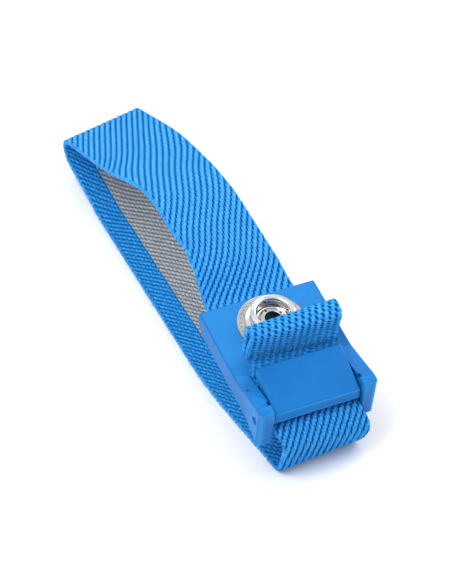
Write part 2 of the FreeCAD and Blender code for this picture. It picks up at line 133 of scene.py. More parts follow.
def at_buckle(v, w):
    """A point of the buckle's frame, v along its plate and w up from it, as (y, z)."""
    c, s = math.cos(BUCKLE_TILT), math.sin(BUCKLE_TILT)
    return CREASE_Y + v * c - w * s, PLATE_HEIGHT + v * s + w * c


# The camera

CAMERA_AZIMUTH, CAMERA_ELEVATION = -24.22, 40.61
CAMERA_DISTANCE = 619.4
CAMERA_TARGET = (6.19, -0.37, 0.0)
FOCAL_PIXELS, FRAME_HEIGHT = 2727.4, 584
SENSOR = 36.0


def add_camera():
    """A long lens from above the front left, as in the photograph."""
    data = bpy.data.cameras.new("camera")
    camera = bpy.data.objects.new("camera", data)
    bpy.context.scene.collection.objects.link(camera)
    a, e = math.radians(CAMERA_AZIMUTH), math.radians(CAMERA_ELEVATION)
    back = Vector((math.sin(a) * math.cos(e), -math.cos(a) * math.cos(e), math.sin(e)))
    target = Vector(CAMERA_TARGET) * MM
    camera.location = target + back * CAMERA_DISTANCE * MM
    camera.rotation_euler = back.to_track_quat("Z", "Y").to_euler()
    data.sensor_fit = "AUTO"
    data.sensor_width = SENSOR
    data.lens = SENSOR * FOCAL_PIXELS / FRAME_HEIGHT
    data.clip_start, data.clip_end = 0.01, 20.0
    bpy.context.scene.camera = camera


# Node materials

class Nodes:
    """A short way to write a node tree."""

    def __init__(self, tree):
        self.tree = tree
        self.tree.nodes.clear()

    def add(self, kind, **settings):
        node = self.tree.nodes.new(kind)
        for name, value in settings.items():
            setattr(node, name, value)
        return node

    def link(self, source, target):
        self.tree.links.new(source, target)

    def feed(self, socket, value):
        if isinstance(value, bpy.types.NodeSocket):
            self.link(value, socket)
        else:
            socket.default_value = value

    def math(self, operation, a, b=0.0, c=0.0):
        node = self.add("ShaderNodeMath", operation=operation)
        for socket, value in zip(node.inputs, (a, b, c)):
            self.feed(socket, value)
        return node.outputs[0]

    def mix(self, factor, a, b, blend="MIX"):
        node = self.add("ShaderNodeMix", data_type="RGBA", blend_type=blend)
        self.feed(node.inputs["Factor"], factor)
        self.feed(node.inputs[6], a)
        self.feed(node.inputs[7], b)
        return node.outputs[2]

    def parts(self, vector):
        node = self.add("ShaderNodeSeparateXYZ")
        self.link(vector, node.inputs[0])
        return node.outputs

    def attribute(self, name):
        return self.parts(self.add("ShaderNodeAttribute", attribute_name=name).outputs["Vector"])

    def noise(self, where, scale, detail=2.0, roughness=0.5):
        node = self.add("ShaderNodeTexNoise")
        self.link(where, node.inputs["Vector"])
        node.inputs["Scale"].default_value = scale
        node.inputs["Detail"].default_value = detail
        node.inputs["Roughness"].default_value = roughness
        return node.outputs["Fac"]

    def span(self, value, low, high, to_low=0.0, to_high=1.0):
        node = self.add("ShaderNodeMapRange")
        self.feed(node.inputs["Value"], value)
        limits = {"From Min": low, "From Max": high, "To Min": to_low, "To Max": to_high}
        for name, number in limits.items():
            node.inputs[name].default_value = number
        return node.outputs["Result"]

    def bump(self, height, strength, distance, normal=None):
        node = self.add("ShaderNodeBump")
        node.inputs["Strength"].default_value = strength
        node.inputs["Distance"].default_value = distance
        self.link(height, node.inputs["Height"])
        if normal is not None:
            self.link(normal, node.inputs["Normal"])
        return node.outputs["Normal"]

    def principled(self, color, roughness, normal=None, **constants):
        shader = self.add("ShaderNodeBsdfPrincipled")
        self.feed(shader.inputs["Base Color"], color)
        self.feed(shader.inputs["Roughness"], roughness)
        for name, value in constants.items():
            shader.inputs[name.replace("_", " ")].default_value = value
        if normal is not None:
            self.link(normal, shader.inputs["Normal"])
        return shader.outputs[0]

    def surface(self, shader):
        self.link(shader, self.add("ShaderNodeOutputMaterial").inputs["Surface"])


def new_material(name):
    material = bpy.data.materials.new(name)
    material.use_nodes = True
    return material, Nodes(material.node_tree)


def object_point(nodes):
    return nodes.add("ShaderNodeTexCoord").outputs["Object"]


def blue_plastic():
    """Moulded blue plastic: satin, a fine grain, faint flow marks, a painted highlight on its convex edges
    and painted shade in its hollows.
    """
    material, n = new_material("blue_plastic")
    where = object_point(n)
    cloud = n.noise(where, 110.0, 3.0)
    grain = n.noise(where, 3600.0, 2.0)
    tone = n.mix(n.span(cloud, 0.3, 0.7), rgb(2, 105, 180), rgb(4, 114, 190))
    pointed = n.add("ShaderNodeNewGeometry").outputs["Pointiness"]
    # Painted highlight: convex edges are drawn paler, where they would catch the light.
    tone = n.mix(n.span(pointed, 0.53, 0.66), tone, rgb(44, 142, 214))
    # Painted shade: hollows are drawn darker.
    tone = n.mix(n.span(pointed, 0.47, 0.38), tone, rgb(0, 88, 160))
    rough = n.span(grain, 0.3, 0.7, 0.42, 0.54)
    ripple = n.bump(cloud, 0.06, 0.0006)
    normal = n.bump(grain, 0.16, 0.00004, ripple)
    n.surface(n.principled(tone, rough, normal, Specular_IOR_Level=0.2))
    return material


# Painted shade in the depth of the snap's bore, and how far it fades out.
BORE_SHADE = rgb(150, 130, 116)
BORE_SHADE_EDGE = 0.12


def snap_radius(n, where):
    """Distance from the snap's axis, in metres."""
    y, z = at_buckle(SNAP_V, 0.0)
    away = n.add("ShaderNodeVectorMath", operation="SUBTRACT")
    n.link(where, away.inputs[0])
    away.inputs[1].default_value = (0.0, y * MM, z * MM)
    back = n.add("ShaderNodeVectorMath", operation="DOT_PRODUCT")
    n.link(away.outputs[0], back.inputs[0])
    back.inputs[1].default_value = (0.0, math.cos(BUCKLE_TILT), math.sin(BUCKLE_TILT))
    aside = n.parts(away.outputs[0])[0]
    squares = n.math("MULTIPLY_ADD", back.outputs["Value"], back.outputs["Value"],
                     n.math("MULTIPLY", aside, aside))
    return n.math("SQRT", squares)


def plated_metal(name, tone, shade, roughness, pitted, dark_within=0.0):
    """Plated metal with cloudy patches and small pits of a darker tone, and painted shade in its hollows.

    Within dark_within millimetres of the snap's axis it is drawn a dark brown, painted shade as in the
    depth of a bore.
    """
    material, n = new_material(name)
    where = object_point(n)
    cloud = n.noise(where, 420.0, 3.0)
    pits = n.noise(where, 3000.0, 3.0)
    pointed = n.add("ShaderNodeNewGeometry").outputs["Pointiness"]
    # shade is the darker colour: the metal's own tone in its cloudy patches and pits, and painted shade in
    # its hollows.
    color = n.mix(n.span(cloud, 0.35, 0.65, 0.0, 0.3), tone, shade)
    # Painted shade in the hollows, found by pointiness.
    color = n.mix(n.span(pointed, 0.49, 0.40), color, shade)
    color = n.mix(n.span(pits, 0.60, 0.72), color, shade)
    if dark_within:
        # Painted shade near the snap's axis, in the bore.
        from_axis = snap_radius(n, where)
        in_bore_shade = n.span(from_axis, (dark_within + BORE_SHADE_EDGE) * MM, dark_within * MM)
        color = n.mix(in_bore_shade, color, BORE_SHADE)
    rough = n.span(pits, 0.3, 0.7, roughness * 0.8, roughness * 1.3)
    normal = n.bump(pits, pitted, 0.00003)
    n.surface(n.principled(color, rough, normal, Metallic=1.0))
    return material


# The yarn's noise for each warp end and each millimetre, and how far its tufts and fuzz shift a groove
YARN_PER_END, YARN_PER_MM = 1.2, 1.5
TUFT_SHIFT, FUZZ_SHIFT = 0.24, 0.20
BEADS_PER_MM, BEADS_PER_END, BEADS_PER_TUFT = 1.05, 0.5, 0.8
# How much more dotted a groove is in the tail, and the level from which its dots widen it
TAIL_DOTTED, DOT_LEVEL = 0.06, 0.35
# Painted shading of a cord: where its flanks start to darken and by how much.
SHOULDER_FROM, SHOULDER_SHARE = 0.40, 0.8
# Painted shade between two ends starts at this level.
SEAM_FROM = 0.40
# Tint and largest share of the painted shade on the band's front, tail and start.
PAINTED_SHADE_TINT, PAINTED_SHADE_SHARE = (0.14, 0.46, 0.55, 1.0), 0.75


def woven(name, crest, flank, groove_shade, lint_tone, gap_from, gap_to, stepped, dotted, seam):
    """Yarn in diagonal cords, drawn from the attribute "weave": cord phase, dots met, millimetres along.

    A cord is widest at a phase of a half and parts from the next at a whole number. The dots met are the
    warp ends, and a count along the run in the tail. A groove is painted in shade, darkest up to gap_from
    of its middle and gone at gap_to, and a cord is painted lighter at its crest than at its flanks.
    stepped says how far each end keeps a phase of its own, dotted how much wider a groove is at a dot than
    between two, and seam how dark the painted shade in the line between two ends is.
    """
    material, n = new_material(name)
    phase, end, run = n.attribute("weave")
    bare, painted_shade, in_tail = n.attribute("finish")
    inside_end = n.math("FRACT", end)
    stretch = n.add("ShaderNodeCombineXYZ")
    n.feed(stretch.inputs[0], n.math("MULTIPLY", end, YARN_PER_END))
    n.feed(stretch.inputs[1], n.math("MULTIPLY", run, YARN_PER_MM))
    tuft = n.noise(stretch.outputs[0], 1.0, 2.0, 0.6)
    fuzz = n.noise(stretch.outputs[0], 2.4, 2.0, 0.7)
    lump = n.noise(stretch.outputs[0], 0.16, 2.0)

    shifted = n.math("MULTIPLY_ADD", n.math("SUBTRACT", inside_end, 0.5), stepped, phase)
    for noise, shift in ((tuft, TUFT_SHIFT), (fuzz, FUZZ_SHIFT)):
        shifted = n.math("MULTIPLY_ADD", n.math("SUBTRACT", noise, 0.5), shift, shifted)
    apart = n.math("PINGPONG", shifted, 0.5)
    hole = n.math("COSINE", n.math("MULTIPLY", inside_end, 2 * math.pi))
    deeper = n.math("MULTIPLY_ADD", in_tail, TAIL_DOTTED, dotted)
    edge = n.math("MULTIPLY_ADD", n.math("SUBTRACT", DOT_LEVEL, hole), deeper, apart)
    groove = n.span(edge, gap_to, gap_from)
    shoulder = n.span(apart, SHOULDER_FROM, gap_to)
    between_ends = n.span(hole, SEAM_FROM, 1.0)
    turns = n.math("MULTIPLY_ADD", run, BEADS_PER_MM, n.math("MULTIPLY", end, BEADS_PER_END))
    turns = n.math("MULTIPLY_ADD", tuft, BEADS_PER_TUFT, turns)
    bead = n.math("COSINE", n.math("MULTIPLY", turns, 2 * math.pi))

    # Painted shading: a cord's crest is drawn lighter and its flanks darker, as light falls on a round
    # cord.
    color = n.mix(n.math("MULTIPLY", shoulder, SHOULDER_SHARE), crest, flank)
    speckles = (
        (bead, 0.3, -0.9, 0.65, flank),
        (tuft, 0.47, 0.34, 0.6, flank),
        (fuzz, 0.46, 0.32, 0.6, flank),
        (tuft, 0.53, 0.66, 0.6, lint_tone),
        (fuzz, 0.56, 0.68, 0.5, lint_tone),
        (lump, 0.35, 0.65, 0.2, flank),
    )
    for noise, none_at, all_at, share, tone in speckles:
        color = n.mix(n.span(noise, none_at, all_at, 0.0, share), color, tone)
    # Painted shade in the line between two ends and in the grooves between cords.
    color = n.mix(n.math("MULTIPLY", between_ends, seam), color, groove_shade)
    dark = n.math("MULTIPLY", groove, n.math("SUBTRACT", 1.0, bare))
    color = n.mix(dark, color, groove_shade)
    # Painted shade over the band's front, tail and start, from the shade part of the attribute finish.
    color = n.mix(n.math("MULTIPLY", painted_shade, PAINTED_SHADE_SHARE), color, PAINTED_SHADE_TINT, "MULTIPLY")

    height = n.span(edge, 0.02, 0.30)
    for rise, share in ((between_ends, -0.35), (bead, 0.3), (tuft, 1.2), (fuzz, 0.8)):
        height = n.math("MULTIPLY_ADD", rise, share, height)
    normal = n.bump(height, 0.9, 0.0002)
    n.surface(n.principled(color, 0.92, normal, Specular_IOR_Level=0.03, Sheen_Weight=0.02))
    return material


def thread_material(name, tone, dark):
    """Spun thread, with a fine twist."""
    material, n = new_material(name)
    where = object_point(n)
    fibre = n.noise(where, 5200.0, 3.0, 0.6)
    color = n.mix(n.span(fibre, 0.35, 0.65), dark, tone)
    normal = n.bump(fibre, 0.4, 0.00004)
    n.surface(n.principled(color, 0.7, normal, Specular_IOR_Level=0.15))
    return material


# The band's route

# Corners of the band's middle surface: (y, z) at its left edge, (y, z) at its right edge, corner
# radius, or one for each edge, and how far the band is shifted to the right there. The loop's corners
# are given by their distance behind the crease, where the cheeks begin to rise.
FIXED = at_buckle(2.34, -2.55)
UNDER_PLATE = at_buckle(17.5, -2.55)
LIP = at_buckle(-14.45, -4.05)
RAMP_FOOT = at_buckle(-9.14, -4.05)


def behind(distance, height):
    return CREASE_Y + distance, height


ROUTE = [
    (FIXED, FIXED, 0, 0.0),
    (UNDER_PLATE, UNDER_PLATE, 4, 0.0),
    (behind(21.9, 20.5), behind(21.1, 21.4), 5, -0.3),
    (behind(29.4, 30.2), behind(27.7, 22.5), 9, 0.0),
    (behind(38.2, 28.1), behind(40.2, 23.7), 30, 0.0),
    (behind(50.2, 30.0), behind(50.7, 24.8), 30, 0.0),
    (behind(59.2, 27.2), behind(61.7, 23.9), 30, 0.0),
    (behind(78.2, 17.7), behind(80.2, 20.3), 90, 0.0),
    (behind(104.4, 8.4), behind(108.5, 9.2), 2.9, -0.3),
    (behind(104.7, 3.5), behind(107.7, 1.9), 2.9, 0.0),
    (behind(81.6, 0.7), behind(91.2, 0.7), 40, -0.35),
    (behind(18.2, 0.7), behind(18.2, 0.7), 200, -1.2),
    (behind(-11.7, 0.7), behind(-9.6, 0.7), (3.6, 6.2), 1.9),
    (behind(-15.6, 11.0), behind(-15.4, 9.4), 7, 1.5),
    (LIP, LIP, 1.3, 0.0),
    (RAMP_FOOT, RAMP_FOOT, 2.5, 0.0),
    (at_buckle(-2.5, 1.2), at_buckle(-3.3, 0.9), 1.6, 0.0),
    (at_buckle(1.1, 1.9), at_buckle(-0.9, 2.6), 1.2, 0.0),
    (at_buckle(1.3, 4.6), at_buckle(-0.3, 7.0), 8, 0.0),
    (at_buckle(-0.1, 11.3), at_buckle(-1.2, 12.3), 1.1, 0.0),
    (at_buckle(2.6, 11.1), at_buckle(2.0, 12.1), 1.3, 0.0),
    (at_buckle(2.75, 4.6), at_buckle(4.3, 7.4), 5, 0.0),
    (at_buckle(2.75, 2.0), at_buckle(3.7, 2.6), 0, 0.0),
]
# Corners that keep their place when the route is smoothed, because the buckle holds the band there
HELD = [0, 1, 14, 15, 16]
# A corner's arc has so many points and takes at most this share of the shorter side beside it
CORNER_POINTS, CORNER_SHARE = 12, 0.48
# Blurs in samples: how far one looks each way, and its spread. The loop, from so far along the run to so
# far before its end, is blurred more than the rest, and how far the band is shifted most of all.
BLUR_REACH = 60
LOOP_FROM, LOOP_TO_END = 16, 62
LOOP_BLUR, OTHER_BLUR = 8.0, 2.0
LOOP_SHIFT_BLUR, OTHER_SHIFT_BLUR = 30.0, 6.0
HELD_BLUR, SPREAD_BLUR = 6.0, 8.0


def corner_points(points, radii, counts):
    """The (y, z) polyline with its corners as arcs, each with its own number of points."""
    points = [np.array(p, float) for p in points]
    out = [points[0]]
    for i in range(1, len(points) - 1):
        back, ahead = points[i - 1] - points[i], points[i + 1] - points[i]
        room = min(np.linalg.norm(back), np.linalg.norm(ahead)) * CORNER_SHARE
        back, ahead = back / np.linalg.norm(back), ahead / np.linalg.norm(ahead)
        half = 0.5 * math.acos(np.clip(back @ ahead, -1, 1))
        reach = min(radii[i] / max(math.tan(half), 1e-6), room)
        radius = reach * math.tan(half)
        middle = back + ahead
        size = np.linalg.norm(middle)
        if size < 1e-4:
            out += [points[i]] * counts[i]
            continue
        centre = points[i] + middle / size * (radius / math.sin(half))
        start = points[i] + back * reach - centre
        end = points[i] + ahead * reach - centre
        sweep = math.atan2(start[0] * end[1] - start[1] * end[0], start @ end)
        for k in range(counts[i]):
            a = sweep * k / (counts[i] - 1)
            c, s = math.cos(a), math.sin(a)
            out.append(centre + np.array([c * start[0] - s * start[1], s * start[0] + c * start[1]]))
    out.append(points[-1])
    return np.array(out)


def smoothed(values, spread):
    """Values along the run, blurred by spread(s) samples at each place."""
    wide = np.pad(values, ((BLUR_REACH, BLUR_REACH), (0, 0)), mode="reflect", reflect_type="odd")
    out = values.copy()
    offsets = np.arange(-BLUR_REACH, BLUR_REACH + 1)
    for i, sigma in enumerate(spread):
        if sigma > 0.1:
            weights = np.exp(-0.5 * (offsets / sigma) ** 2)
            out[i] = (wide[i:i + len(offsets)] * weights[:, None]).sum(0) / weights.sum()
    return out


def band_edges():
    """Left edge, right edge and shift along the band's middle surface, every STEP millimetres."""
    counts = [CORNER_POINTS] * len(ROUTE)
    left, right = [
        corner_points([c[side] for c in ROUTE], [np.broadcast_to(c[2], 2)[side] for c in ROUTE], counts)
        for side in (0, 1)
    ]
    shift, held = [ROUTE[0][3]], [1.0]
    for i in range(1, len(ROUTE) - 1):
        shift += [ROUTE[i][3]] * counts[i]
        held += [1.0 if i in HELD else 0.0] * counts[i]
    shift.append(ROUTE[-1][3])
    held.append(0.0)
    middle = (left + right) / 2
    run = np.r_[0, np.cumsum(np.linalg.norm(np.diff(middle, axis=0), axis=1))]
    run = run + np.arange(len(run)) * 1e-7
    count = int(run[-1] / STEP) + 1
    s = np.linspace(0, run[-1], count)
    table = np.column_stack([left, right, shift, held])
    table = np.column_stack([np.interp(s, run, column) for column in table.T])
    free = 1 - smoothed(table[:, 5:6], np.full(count, HELD_BLUR))[:, 0]
    loop = (s > LOOP_FROM) & (s < run[-1] - LOOP_TO_END)
    spread = np.where(loop, LOOP_BLUR, OTHER_BLUR) * np.clip(free, 0, 1)
    spread = smoothed(spread[:, None], np.full(count, SPREAD_BLUR))[:, 0]
    table[:, :4] = smoothed(table[:, :4], spread)
    table[:, 4:5] = smoothed(table[:, 4:5], np.where(loop, LOOP_SHIFT_BLUR, OTHER_SHIFT_BLUR))
    return s, table[:, :2], table[:, 2:4], table[:, 4]


S, LEFT, RIGHT, SHIFT = band_edges()
LENGTH = float(S[-1])


def surface(t, lift):
    """Points of the band at t across (-1 to 1) and lift outward, for every station along it."""
    t, lift = np.broadcast_arrays(np.atleast_2d(t), lift)
    mix = ((t + 1) / 2)[..., None]
    yz = LEFT[:, None] * (1 - mix) + RIGHT[:, None] * mix
    ahead = np.gradient(yz, axis=0)
    skew = np.zeros(yz.shape[:2] + (3,))
    skew[..., 0] = BAND_WIDTH
    skew[..., 1:] = (RIGHT - LEFT)[:, None]
    along = np.zeros_like(skew)
    along[..., 1:] = ahead
    normal = np.cross(skew, along)
    normal /= np.linalg.norm(normal, axis=-1, keepdims=True)
    points = np.zeros_like(skew)
    points[..., 0] = t * BAND_WIDTH / 2 + SHIFT[:, None]
    points[..., 1:] = yz
    return points + normal * lift[..., None]


# The weave

def smooth_step(x, low, high):
    x = np.clip((x - low) / (high - low), 0, 1)
    return x * x * (3 - 2 * x)


def cord_count(edge):
    """How many cords an edge has met at each station."""
    pace = np.gradient(edge, axis=0) / np.gradient(S)[:, None]
    far = smooth_step(S, *NEAR_TO_FAR)
    front = smooth_step(S - LENGTH, *FAR_TO_FRONT)
    tail = smooth_step(S - LENGTH, *FRONT_TO_TAIL)
    aside = FRONT_CORDS_ACROSS / BAND_WIDTH * np.gradient(SHIFT) / np.gradient(S)
    rate = pace @ CORDS_NEAR * (1 - far) + CORDS_PER_MM_FAR * far
    rate = rate * (1 - front) + (pace @ CORDS_FRONT - aside) * front
    rate = rate * (1 - tail) + (pace @ CORDS_TAIL - aside) * tail
    return np.r_[0, np.cumsum((rate[1:] + rate[:-1]) / 2 * np.diff(S))]


LEFT_CORDS, RIGHT_CORDS = cord_count(LEFT), cord_count(RIGHT)


def shade():
    """Painted shade: how much darker the weave is drawn at each station, at the front, in the tail and
    near the start.
    """
    front = np.interp(S - LENGTH, DARKER_PLACES, DARKER)
    near = DARKER_NEAR * (1 - smooth_step(S, *NEAR_FADES))
    return np.where(S - LENGTH > DARKER_PLACES[0], front, near)


def ends_between(low, high, ends, columns):
    """Places across from low to high, in units of half the width, with so many columns to an end."""
    every = np.linspace(-1, 1, columns * ends + 1)
    return every[(every > low + 1e-6) & (every < high - 1e-6)]


def dots_met(place):
    """The places where a groove has its dots: the warp ends, and in the tail a count along it."""
    in_tail = smooth_step(S - LENGTH, *FRONT_TO_TAIL)[:, None]
    along = np.maximum(S - LENGTH - FRONT_TO_TAIL[0], 0)[:, None]
    return place * (1 - in_tail * (1 - TAIL_DOTS_ACROSS)) + along * TAIL_DOTS_PER_MM


def from_edge(t):
    """1 on the smooth selvedge and 0 on the weave."""
    return 1 - smooth_step((1 - np.abs(t)) * BAND_WIDTH / 2, SELVEDGE * SELVEDGE_WHOLE, SELVEDGE)


def relief(t, face):
    """Height from 0 to 1, and the attribute "weave", over one face of the band."""
    if face == "outer":
        ends, softness, floor = ENDS, CORD_SOFTNESS, CORD_FLOOR
        front = smooth_step(S - LENGTH, *FAR_TO_FRONT)[:, None]
        cords = LOOP_CORDS_ACROSS + (FRONT_CORDS_ACROSS - LOOP_CORDS_ACROSS) * front
        met = LEFT_CORDS[:, None] * (1 - t[None]) / 2 + RIGHT_CORDS[:, None] * (1 + t[None]) / 2
    else:
        ends, cords, softness, floor = INNER_ENDS, ROWS_ACROSS, ROW_SOFTNESS, ROW_FLOOR
        met = ROWS_PER_MM * S[:, None]
    place = (t + 1) / 2 * ends
    phase = met - t[None] * cords / 2
    wander = WANDER * np.sin(S[:, None] * WANDER_PER_MM + WANDER_PER_END * np.round(place)[None])
    apart = np.abs((phase + wander + 0.5) % 1.0 - 0.5)
    crest = smooth_step(apart, 0.0, softness)
    valley = (0.5 + 0.5 * np.cos(2 * np.pi * place))[None]
    height = valley * VALLEY_SHARE * crest + (1 - valley) * (floor + (1 - floor) * crest)
    bare = from_edge(t)[None]
    hem = 0.5 + 0.25 * np.cos(S[:, None] * 2 * np.pi / EDGE_LOOP)
    height = height * (1 - bare) + hem * bare
    weave = np.zeros(phase.shape + (3,))
    weave[..., 0] = phase
    weave[..., 1] = dots_met(place) if face == "outer" else place
    weave[..., 2] = S[:, None]
    return height, weave


def grid_mesh(name, points, weave, bare, dark, tail):
    """A closed tube from a grid of points, rows along it and columns round it, with square ends.

    It carries the attributes "weave" and "finish", whose parts are bare cloth, the painted shade and the
    tail.
    """
    rows, cols = points.shape[:2]
    index = np.arange(rows * cols).reshape(rows, cols)
    following = np.roll(index, -1, axis=1)
    quads = np.stack([index[:-1], following[:-1], following[1:], index[1:]], -1).reshape(-1, 4)
    half = cols // 2
    near = np.arange(half - 1)
    cap = np.stack([near, cols - 1 - near, cols - 2 - near, near + 1], -1)
    cap = cap[cap[:, 2] != cap[:, 3]]
    quads = np.concatenate([quads, cap, cap[:, ::-1] + (rows - 1) * cols])
    in_tail = np.broadcast_to(tail[:, None], bare.shape)
    mesh = bpy.data.meshes.new(name)
    mesh.vertices.add(rows * cols)
    mesh.vertices.foreach_set("co", (points.reshape(-1, 3) * MM).ravel())
    mesh.loops.add(len(quads) * 4)
    mesh.polygons.add(len(quads))
    mesh.loops.foreach_set("vertex_index", quads.ravel())
    mesh.polygons.foreach_set("loop_start", np.arange(0, len(quads) * 4, 4))
    mesh.update()
    layer = mesh.attributes.new("weave", "FLOAT_VECTOR", "POINT")
    layer.data.foreach_set("vector", np.ascontiguousarray(weave, dtype=np.float32).ravel())
    layer = mesh.attributes.new("finish", "FLOAT_VECTOR", "POINT")
    finish = np.stack([bare, np.broadcast_to(dark[:, None], bare.shape), in_tail], -1)
    layer.data.foreach_set("vector", np.ascontiguousarray(finish, dtype=np.float32).ravel())
    return mesh


def add_piece(name, mesh, materials, body):
    piece = bpy.data.objects.new(name, mesh)
    bpy.context.scene.collection.objects.link(piece)
    for material in materials:
        mesh.materials.append(material)
    mesh.polygons.foreach_set("use_smooth", np.ones(len(mesh.polygons), bool))
    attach(piece, body)
    return piece


def band_section():
    """The band's columns: places across, lifts, weave and bareness, and which are of the inner face."""
    half = BAND_THICKNESS / 2
    stripe = STRIPE_WIDTH / BAND_WIDTH
    rng = np.random.default_rng(BAND_SEED)
    outer = ends_between(-1, 1, ENDS, END_COLUMNS)
    right = ends_between(stripe, 1, INNER_ENDS, INNER_END_COLUMNS)[::-1]
    left = ends_between(-1, -stripe, INNER_ENDS, INNER_END_COLUMNS)[::-1]
    inner = np.r_[right, stripe, 0.0, -stripe, left]
    height, outer_weave = relief(outer, "outer")
    depth = CORD_RELIEF + (TAIL_RELIEF - CORD_RELIEF) * smooth_step(S - LENGTH, *FRONT_TO_TAIL)
    outer_lift = half - depth[:, None] * (1 - height) + rng.normal(0, LUMPS, height.shape)
    outer_lift = np.minimum(outer_lift, half - CREST_GIVE)
    height, inner_weave = relief(inner, "inner")
    inner_lift = -half + ROW_RELIEF * (1 - height) + rng.normal(0, LUMPS, height.shape)
    under_stripe = np.abs(inner) <= stripe + 1e-6
    inner_lift[:, under_stripe] = -half + STRIPE_DEPTH + ROW_RELIEF

    turn = np.radians(EDGE_TURNS)
    loops = 0.5 - 0.5 * np.cos(S[:, None] * 2 * np.pi / EDGE_LOOP)
    uneven = rng.normal(0, LUMPS, (len(S), len(turn)))
    edge = 1 - EDGE_ROUND + EDGE_ROUND * np.cos(turn)
    edge = edge - (EDGE_LOOP_DEPTH * loops + uneven) * 2 / BAND_WIDTH
    edge_lift = np.ones((len(S), 1)) * (half - CORD_RELIEF * EDGE_THINNER) * np.sin(turn)
    edge_weave = np.zeros((len(S), len(turn), 3))
    edge_weave[..., 0] = S[:, None] / EDGE_LOOP + 0.5
    edge_weave[..., 1] = 0.5
    edge_weave[..., 2] = S[:, None]

    every = np.ones((len(S), 1))
    across = np.hstack([every * outer, edge, every * inner, -edge[:, ::-1]])
    lift = np.hstack([outer_lift, edge_lift, inner_lift, edge_lift[:, ::-1]])
    weave = np.concatenate([outer_weave, edge_weave, inner_weave, edge_weave], axis=1)
    hem = np.full(len(turn), EDGE_BARE)
    closed = np.interp(S - LENGTH, CLOSED_PLACES, (0.0, CLOSED_SHARE, CLOSED_SHARE, 0.0))[:, None]
    outer_bare = np.maximum(from_edge(outer) * SELVEDGE_BARE, closed)
    bare = np.hstack([outer_bare, every * np.r_[hem, from_edge(inner) * SELVEDGE_BARE, hem]])
    is_inner = np.zeros(across.shape[1], bool)
    first = len(outer) + len(turn)
    is_inner[first - 1:first + len(inner)] = True
    return across, lift, weave, bare, is_inner


def add_band(cords, rows):
    """The woven band, cut into lengths so that no mesh grows too large."""
    across, lift, weave, bare, is_inner = band_section()
    points = surface(across, lift)
    dark, tail = shade(), smooth_step(S - LENGTH, *FRONT_TO_TAIL)
    cuts = [0] + [int(at / STEP) for at in CUTS_AT] + [len(S) - 1]
    names = ["band_top_run", "band_bottom_run", "band_front_and_tail"]
    pieces = []
    for name, first, last in zip(names, cuts[:-1], cuts[1:]):
        part = slice(first, last + 1)
        mesh = grid_mesh(name, points[part], weave[part], bare[part], dark[part], tail[part])
        faces = np.zeros(len(mesh.polygons), np.int32)
        faces[:(last - first) * len(is_inner)] = np.tile(is_inner, last - first)
        piece = add_piece(name, mesh, [cords, rows], ROOT)
        mesh.polygons.foreach_set("material_index", faces)
        pieces.append(piece)
    return pieces


def add_stripe(material):
    """Grey conductive yarn down the middle of the inner face."""
    half = BAND_THICKNESS / 2
    stripe = STRIPE_WIDTH / BAND_WIDTH
    t = np.r_[-stripe, ends_between(-stripe, stripe, INNER_ENDS, INNER_END_COLUMNS), stripe][::-1]
    height, weave = relief(t, "inner")
    rng = np.random.default_rng(STRIPE_SEED)
    lift = -half + ROW_RELIEF * (1 - height) + rng.normal(0, LUMPS, height.shape)
    back_lift = np.full((len(S), len(t)), -half + STRIPE_DEPTH + ROW_RELIEF + STRIPE_BEDDED)
    points = surface(np.r_[t, t[::-1]], np.hstack([lift, back_lift]))
    weave = np.concatenate([weave, weave[:, ::-1]], axis=1)
    plain = np.zeros(len(S))
    bare = np.zeros(points.shape[:2])
    mesh = grid_mesh("conductive_stripe_yarn", points, weave, bare, plain, plain)
    piece = add_piece("conductive_stripe_yarn", mesh, [material], ROOT)
    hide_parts("conductive_stripe")


# Threads

def tube(path, radii, sides):
    """Vertices and faces of a closed tube along a path, with a radius at each of its points."""
    path = np.array(path, float)
    ahead = np.gradient(path, axis=0)
    ahead /= np.linalg.norm(ahead, axis=1, keepdims=True)
    side = np.cross(ahead, (0.31, 0.17, 0.93))
    side /= np.linalg.norm(side, axis=1, keepdims=True)
    up = np.cross(side, ahead)
    turn = np.arange(sides) * 2 * np.pi / sides
    ring = side[:, None] * np.cos(turn)[None, :, None] + up[:, None] * np.sin(turn)[None, :, None]
    points = path[:, None] + ring * np.reshape(radii, (-1, 1, 1))
    index = np.arange(len(path) * sides).reshape(len(path), sides)
    following = np.roll(index, -1, axis=1)
    faces = np.stack([index[:-1], index[1:], following[1:], following[:-1]], -1).reshape(-1, 4).tolist()
    faces += [index[0].tolist(), index[-1][::-1].tolist()]
    return points.reshape(-1, 3), faces


def tubes_mesh(name, tubes):
    """One mesh of separate closed tubes."""
    points, faces, first = [], [], 0
    for own_points, own_faces in tubes:
        points.append(own_points)
        faces += [[first + i for i in face] for face in own_faces]
        first += len(own_points)
    mesh = bpy.data.meshes.new(name)
    mesh.from_pydata((np.concatenate(points) * MM).tolist(), [], faces)
    return mesh


def point_on_band(run, across, lift):
    """The point at run millimetres along, across (-1 to 1) and lift outward."""
    i = int(np.clip(np.searchsorted(S, run), 1, len(S) - 2))
    near = slice(i - 1, i + 2)
    yz = LEFT[near] * (1 - across) / 2 + RIGHT[near] * (1 + across) / 2
    skew = np.r_[BAND_WIDTH, RIGHT[i] - LEFT[i]]
    normal = np.cross(skew, np.r_[0, yz[2] - yz[0]])
    normal /= np.linalg.norm(normal)
    at = yz[1] + (yz[2] - yz[0]) / (S[i + 1] - S[i - 1]) * (run - S[i])
    return np.r_[across * BAND_WIDTH / 2 + SHIFT[i], at] + normal * lift


